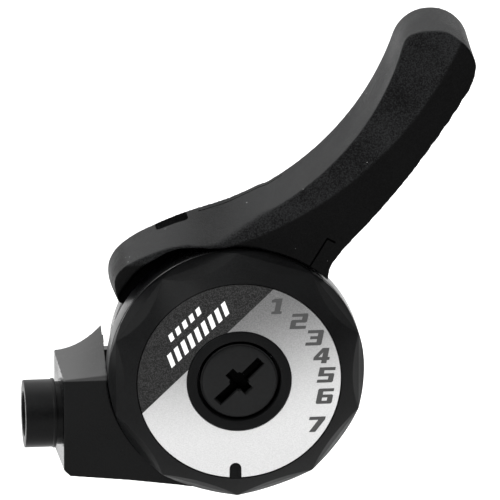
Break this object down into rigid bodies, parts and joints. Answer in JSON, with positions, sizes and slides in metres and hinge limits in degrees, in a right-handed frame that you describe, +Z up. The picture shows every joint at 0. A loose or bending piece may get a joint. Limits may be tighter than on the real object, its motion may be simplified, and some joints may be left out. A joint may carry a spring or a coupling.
{
  "type": "thumb shifter",
  "caption": "Top-mount bicycle thumb shifter: a round numbered dial with a faceted rim, a curved thumb lever, a side cable entry and a handlebar strap clamp.",
  "frame": {"origin": "middle of the handlebar clamp, on the handlebar's axis", "axes": "+X along the handlebar, -Y out of the face of the dial along the lever's pivot, +Z up towards the lever's tip"},
  "size_m": [0.0614, 0.0428, 0.0712],
  "materials": {
    "body_plastic": "satin black moulded nylon",
    "lever_plastic": "black moulded nylon with a fine grained texture",
    "drum_plastic": "smooth satin moulded nylon",
    "label_metal": "printed satin aluminium",
    "black_steel": "black coated steel",
    "zinc_steel": "zinc plated steel",
    "ball_steel": "polished bearing steel",
    "bush_brass": "sintered bronze"
  },
  "bodies": {
    "bracket": {"clamp_band": "black_steel", "clamp_bolt": "zinc_steel", "clamp_washer": "zinc_steel", "clamp_nut": "zinc_steel", "axle_stud": "zinc_steel", "base_housing": "body_plastic", "thrust_washer": "bush_brass", "index_plate": "zinc_steel", "dial_cap": "body_plastic", "gear_label": "label_metal", "pivot_screw": "black_steel", "screw_washer": "zinc_steel", "spring_washer": "zinc_steel", "friction_washer": "bush_brass"},
    "thumb_lever": {"lever": "lever_plastic", "cable_drum": "drum_plastic", "drum_pins": "zinc_steel", "hub_bush": "bush_brass", "detent_springs": "zinc_steel"},
    "detent": {"detent_balls": "ball_steel"}
  },
  "joints": [
    {"name": "lever_turn", "type": "hinge", "parent": "bracket", "child": "thumb_lever", "pos_m": [0, 0, 0], "axis": [0, 1, 0], "range_deg": [0, 96]},
    {"name": "detent_click", "type": "slide", "parent": "thumb_lever", "child": "detent", "axis": [0, -1, 0], "range_m": [0, 0.00038], "stiffness_N_per_m": 800}
  ]
}
